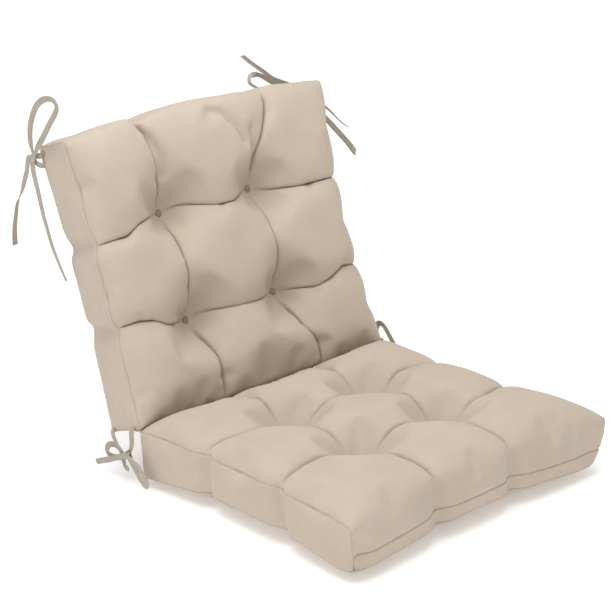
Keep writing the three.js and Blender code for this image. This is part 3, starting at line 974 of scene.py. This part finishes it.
# fmt: off
SEAT_LOOK = dict(
    waist=(18, 10), end_waist=14, notch=10, lift=16, crown=25, crease=13, belly=13, belly_reach=110,
    rear_hold=0.25, hold=0.5, open=0.5, tension=40, bending=40, pressure=5, fullness=0.045,
    travel=26, pit=(76, 1.9), pinch=1.3, close=0.65, slot=2, tuck=14, pleat=6, pleats=[],
    column_leans=[
        [(0, -6), (90, 5), (160, 0), (240, -4), (325, 0), (420, 9), (500, 12)],
        [(0, 8), (80, -4), (160, 0), (240, 5), (325, 0), (410, -8), (500, -5)],
    ],
    row_leans=[
        [(-255, 10), (-170, -5), (-82, 0), (0, 6), (82, 0), (170, 7), (255, -6)],
        [(-255, -8), (-170, 6), (-82, 0), (0, -6), (82, 0), (170, -7), (255, 4)],
    ],
)
BACK_LOOK = dict(
    waist=(3, 18), end_waist=-16, notch=7, lift=2, crown=25, crease=17, belly=12, belly_reach=34,
    rear_hold=0.03, hold=0.85, open=0.7, tension=40, bending=45, pressure=5, fullness=0.045,
    travel=26, pit=(86, 1.7), pinch=2.4, close=0.9, slot=6, tuck=0, pleat=8,
    pleats=[
        [(-125, 456), (-113, 438), (-101, 403), (-103, 375)],
        [(78, 412), (79, 381), (77, 350)],
        [(9, 456), (30, 448), (49, 422), (60, 395)],
    ],
    column_leans=[
        [(0, 15), (75, 15), (141, 0), (235, -4), (317, 0), (371, -10), (430, -20), (460, -20)],
        [(0, 38), (44, 33), (74, 16), (141, 0), (240, -6), (317, 0), (364, 6), (397, 22),
         (437, 42), (460, 44)],
    ],
    row_leans=[
        [(-255, 25), (-218, 25), (-191, 20), (-163, 7), (-101, 0), (-78, 5), (-26, 2), (13, 0),
         (79, 0), (145, -8), (180, 0), (210, 10), (255, 8)],
        [(-255, -22), (-201, -19), (-174, -7), (-101, 0), (-73, 4), (-20, -9), (19, -11),
         (79, 0), (110, -10), (154, -16), (255, -18)],
    ],
)
# fmt: on
seat_swell, seat_quads = make_pad(
    "seat", 500.0, (-82.5, 82.5), (160.0, 325.0), SEAT_LOOK,
    {
        "face": ("seat_top_panel", "top_cover"),
        "band": ("seat_front_band", "front_band_cover"),
        "rear": ("seat_bottom_panel", "bottom_cover"),
        "end": ("seat_rear_panel", "rear_cover"),
        "left": ("seat_right_boxing", "right_boxing_cover"),
        "right": ("seat_left_boxing", "left_boxing_cover"),
    },
)
back_swell, back_quads = make_pad(
    "back", 460.0, (-101.0, 79.0), (141.0, 317.0), BACK_LOOK,
    {
        "face": ("back_front_panel", "front_cover"),
        "band": ("back_top_band", "top_band_cover"),
        "rear": ("back_rear_panel", "rear_cover"),
        "end": ("back_bottom_panel", "bottom_cover"),
        "left": ("back_left_boxing", "left_boxing_cover"),
        "right": ("back_right_boxing", "right_boxing_cover"),
    },
)

# ---------------------------------------------------------------------------------------------
# Fillings
# Loose polyester fibre blown into each cover, which fills it to the cloth and is drawn down
# wherever a tuft holds the two faces together.
# ---------------------------------------------------------------------------------------------
CLOTH_TO_FIBRE = 4.5  # mm from the cover's outside to the fibre
CORNER_SLACK = 16.0  # the fibre doesn't reach into the corners

fibre, fibre_tree = empty_material("polyester_fibre_fill")
fibre_place = add(fibre_tree, "ShaderNodeTexCoord")
tangle = add(
    fibre_tree,
    "ShaderNodeTexNoise",
    [
        ("Vector", fibre_place.outputs["Object"]),
        ("Scale", 160),
        ("Detail", 8),
        ("Roughness", 0.7),
        ("Distortion", 1.2),
    ],
)
fibre_colour = add(fibre_tree, "ShaderNodeValToRGB", [("Fac", tangle.outputs["Fac"])])
fibre_colour.color_ramp.elements[0].color = srgb("#dcdad2")
fibre_colour.color_ramp.elements[1].color = srgb("#f6f5f0")
fibre_bump = add(
    fibre_tree,
    "ShaderNodeBump",
    [("Height", tangle.outputs["Fac"]), ("Strength", 0.8), ("Distance", 0.002)],
)
fibre_shader = add(
    fibre_tree,
    "ShaderNodeBsdfPrincipled",
    [
        ("Base Color", fibre_colour.outputs["Color"]),
        ("Roughness", 0.95),
        ("Sheen Weight", 0.4),
        ("Normal", fibre_bump.outputs["Normal"]),
    ],
)
add(fibre_tree, "ShaderNodeOutputMaterial", [("Surface", fibre_shader.outputs["BSDF"])])


def point_normals(points, quads):
    turned = np.cross(
        points[quads[:, 2]] - points[quads[:, 0]], points[quads[:, 3]] - points[quads[:, 1]]
    )
    total = np.zeros_like(points)
    for corner in range(4):
        np.add.at(total, quads[:, corner], turned)
    return unit(total)


for pad, swell, quads in (("seat", seat_swell, seat_quads), ("back", back_swell, back_quads)):
    inset = CLOTH_TO_FIBRE * np.array([1, 1, 1.5, 2.2])[sewn_sides[pad]]
    inner = swell - point_normals(swell, quads) * inset[:, None]
    side = PAD_WIDTH / 2 - np.abs(swell[:, 0])
    end = np.minimum(swell[:, 1], swell[:, 1].max() - swell[:, 1])
    corner = (1.25 - side / 44).clip(0, 1) * (1.25 - end / 44).clip(0, 1)
    inner[:, 0] -= np.sign(swell[:, 0]) * CORNER_SLACK * corner
    inner[:, 1] += np.where(swell[:, 1] < 200, 1, -1) * CORNER_SLACK * corner
    inside = to_world(inner, pad)
    inside[:, 2] = np.maximum(inside[:, 2], 0.0025)
    filling = new_piece(f"{pad}_fibre_filling", inside, quads, fibre)
    give_at_fold(filling)
    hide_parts(f"{pad}_filling")

# ---------------------------------------------------------------------------------------------
# Covered buttons and their twine
# Sixteen button moulds covered in the cloth, gathered behind, pulled down in pairs by a twine
# that is knotted through each pad.
# ---------------------------------------------------------------------------------------------
BUTTON_SIDES = 28
BUTTON_GATHERS = 9
BUTTON_RADIUS = 6.5
# Half of a button's section from its crown to its gathered back, radius and height in millimetres
BUTTON_PROFILE = [(0.0, 4.5), (2.6, 4.35), (4.6, 3.8), (5.9, 2.9), (BUTTON_RADIUS, 1.7)]
BUTTON_PROFILE += [(6.35, 0.8), (5.4, 0.1), (3.4, -0.1), (1.4, 0.15), (0.0, 0.2)]

# The buttons' cloth is the cover's canvas made darker: painted shade of the deep tuft pits that the
# buttons sit in.
button_cloth_painted_shade = woven("canvas_button_cover_painted_shade", "#a89781", "#84745f", 0.0012, 0.88, 0.2, 0.2)

twine = thread_material("waxed_tufting_twine", "#ddd2be", "#b5a88f")


def covered_button(name, node, outwards, body):
    low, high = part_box(node)
    axis = np.array(outwards, float)
    middle = np.array((low + high) / 2) - axis * 0.00225
    side = unit(np.cross(axis, (1, 0, 0.01)))
    other = np.cross(axis, side)
    angle = np.linspace(0, math.tau, BUTTON_SIDES, endpoint=False)
    points, uv_of = [middle + axis * BUTTON_PROFILE[0][1] / 1000], [(0, 0)]
    for radius, height in BUTTON_PROFILE[1:-1]:
        deep = 0.16 * (radius / BUTTON_RADIUS) ** 3 * (1 if height > 1 else 2.2)
        r = (radius - deep * (0.5 + 0.5 * np.cos(angle * BUTTON_GATHERS))) / 1000
        for a, reach in zip(angle, r):
            towards = side * math.cos(a) + other * math.sin(a)
            points.append(middle + axis * height / 1000 + towards * reach)
            spread = reach if height > 1 else 0.014 - reach
            uv_of.append((spread * math.cos(a), spread * math.sin(a)))
    points.append(middle + axis * BUTTON_PROFILE[-1][1] / 1000)
    uv_of.append((0.014, 0))
    faces = []
    rings = len(BUTTON_PROFILE) - 2
    for i in range(BUTTON_SIDES):
        j = (i + 1) % BUTTON_SIDES
        faces.append((0, 1 + i, 1 + j))
        for r in range(rings - 1):
            a, b = 1 + r * BUTTON_SIDES, 1 + (r + 1) * BUTTON_SIDES
            faces.append((a + i, b + i, b + j, a + j))
        last = 1 + (rings - 1) * BUTTON_SIDES
        faces.append((last + i, len(points) - 1, last + j))
    uv = [uv_of[v] for f in faces for v in f]
    button = new_piece(name, points, faces, button_cloth_painted_shade, uv=uv)
    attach(button, body)
    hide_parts(node)


BACK_OUT = (0, -math.cos(RECLINE), math.sin(RECLINE))
for number in range(1, 5):
    for face, outwards, body in (
        ("seat_top", (0, 0, 1), "seat"),
        ("seat_under", (0, 0, -1), "seat"),
        ("back_front", BACK_OUT, "back"),
        ("back_rear", tuple(-v for v in BACK_OUT), "back"),
    ):
        covered_button(
            f"{face}_covered_button_{number}", f"{face}_button_{number}", outwards, body
        )
    for pad in ("seat", "back"):
        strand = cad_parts[f"{pad}_tuft_twine_{number}"]
        strand.data.materials.clear()
        strand.data.materials.append(twine)

# ---------------------------------------------------------------------------------------------
# Fold seam
# The two face panels' turned edges, rolled together and overstitched along the fold.
# ---------------------------------------------------------------------------------------------
ROLL_RADIUS = 0.0019
ROLL_SIDES = 10
ROLL_RINGS = 171
ROLL_UV_STEP = 0.0012  # one side of the roll, laid flat

seam_low, seam_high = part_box("fold_seam")
roll_x = np.linspace(seam_low.x, seam_high.x, ROLL_RINGS)
roll_swell = 1 + 0.12 * np.sin(roll_x * math.tau / 0.011) + 0.07 * np.sin(roll_x * math.tau / 0.031)
roll_swell[[0, -1]] = 0.35
roll_points, roll_faces, roll_uv = [], [], []
for x, swell in zip(roll_x, roll_swell):
    for a in np.linspace(0, math.tau, ROLL_SIDES, endpoint=False):
        reach = ROLL_RADIUS * swell
        y, z = FOLD_POINT.y + reach * math.cos(a), FOLD_POINT.z + reach * math.sin(a)
        roll_points.append((x, y, z))
for i in range(len(roll_x) - 1):
    for j in range(ROLL_SIDES):
        a, b = i * ROLL_SIDES, (i + 1) * ROLL_SIDES
        k = (j + 1) % ROLL_SIDES
        roll_faces.append((a + j, a + k, b + k, b + j))
        around = j * ROLL_UV_STEP
        roll_uv += [(roll_x[i], around), (roll_x[i], around + ROLL_UV_STEP)]
        roll_uv += [(roll_x[i + 1], around + ROLL_UV_STEP), (roll_x[i + 1], around)]
roll_faces.append(tuple(range(ROLL_SIDES))[::-1])
roll_faces.append(tuple(range(len(roll_points) - ROLL_SIDES, len(roll_points))))
roll_uv += [(0, 0)] * (2 * ROLL_SIDES)
roll = new_piece("fold_seam_roll", roll_points, roll_faces, cover_cloth, uv=roll_uv)
overstitch = sewn(
    "fold_seam_stitches",
    [[(x, FOLD_POINT.y, FOLD_POINT.z + ROLL_RADIUS * 1.1) for x in roll_x[2:-2]]],
    Pitch=0.0042,
    Stitch_length=0.0031,
    Thread_radius=0.0004,
)
for piece in (roll, overstitch):
    give_at_fold(piece)
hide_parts("fold_seam")

# ---------------------------------------------------------------------------------------------
# Floor and light
# A plain pale floor that runs out to a white surround, with soft light from above and the left.
# ---------------------------------------------------------------------------------------------
SURROUND_LIGHT = 0.55
FLOOR_REACH = 9  # from the origin to each edge
LIGHTS_AIM = Vector((0, 0.15, 0.25))
FLOOR_GLOW = (0.24, 0.5)  # beside the cushion and 3 m away, so that the floor stays white

floor_material, floor_tree = empty_material("matt_white_floor")
floor_place = add(floor_tree, "ShaderNodeTexCoord")
floor_distance = add(
    floor_tree, "ShaderNodeVectorMath", [(0, floor_place.outputs["Object"])], operation="LENGTH"
)
floor_glow = add(
    floor_tree,
    "ShaderNodeMapRange",
    [
        ("Value", floor_distance.outputs["Value"]),
        ("From Min", 0.5),
        ("From Max", 3.0),
        ("To Min", FLOOR_GLOW[0]),
        ("To Max", FLOOR_GLOW[1]),
    ],
)
floor_shader = add(
    floor_tree,
    "ShaderNodeBsdfPrincipled",
    [
        ("Base Color", srgb("#fbfbfb")),
        ("Roughness", 0.95),
        ("Specular IOR Level", 0.1),
        ("Emission Color", (1, 1, 1, 1)),
        ("Emission Strength", floor_glow.outputs["Result"]),
    ],
)
add(floor_tree, "ShaderNodeOutputMaterial", [("Surface", floor_shader.outputs["BSDF"])])
floor_corners = [
    (x * FLOOR_REACH, y * FLOOR_REACH, 0) for x, y in ((-1, -1), (1, -1), (1, 1), (-1, 1))
]
floor = new_piece("floor", floor_corners, [(0, 1, 2, 3)], floor_material, False)

surround = bpy.data.worlds.new("white_surround")
surround.use_nodes = True
surround_tree = surround.node_tree
surround_tree.nodes.clear()
sky = add(
    surround_tree, "ShaderNodeBackground", [("Color", (1, 1, 1, 1)), ("Strength", SURROUND_LIGHT)]
)
add(surround_tree, "ShaderNodeOutputWorld", [("Surface", sky.outputs["Background"])])
scene.world = surround


def soft_box(name, place, size, power):
    light = bpy.data.lights.new(name, "AREA")
    light.shape = "SQUARE"
    light.size = size
    light.energy = power
    lamp = bpy.data.objects.new(name, light)
    lamp.location = place
    aim = LIGHTS_AIM - Vector(place)
    lamp.rotation_mode = "QUATERNION"
    lamp.rotation_quaternion = aim.to_track_quat("-Z", "Y")
    scene.collection.objects.link(lamp)


soft_box("overhead_soft_box", (-0.4, -0.1, 2.3), 2.0, 42)
soft_box("left_soft_box", (-2.2, -0.7, 1.2), 1.2, 3)
scene.view_settings.view_transform = "Standard"
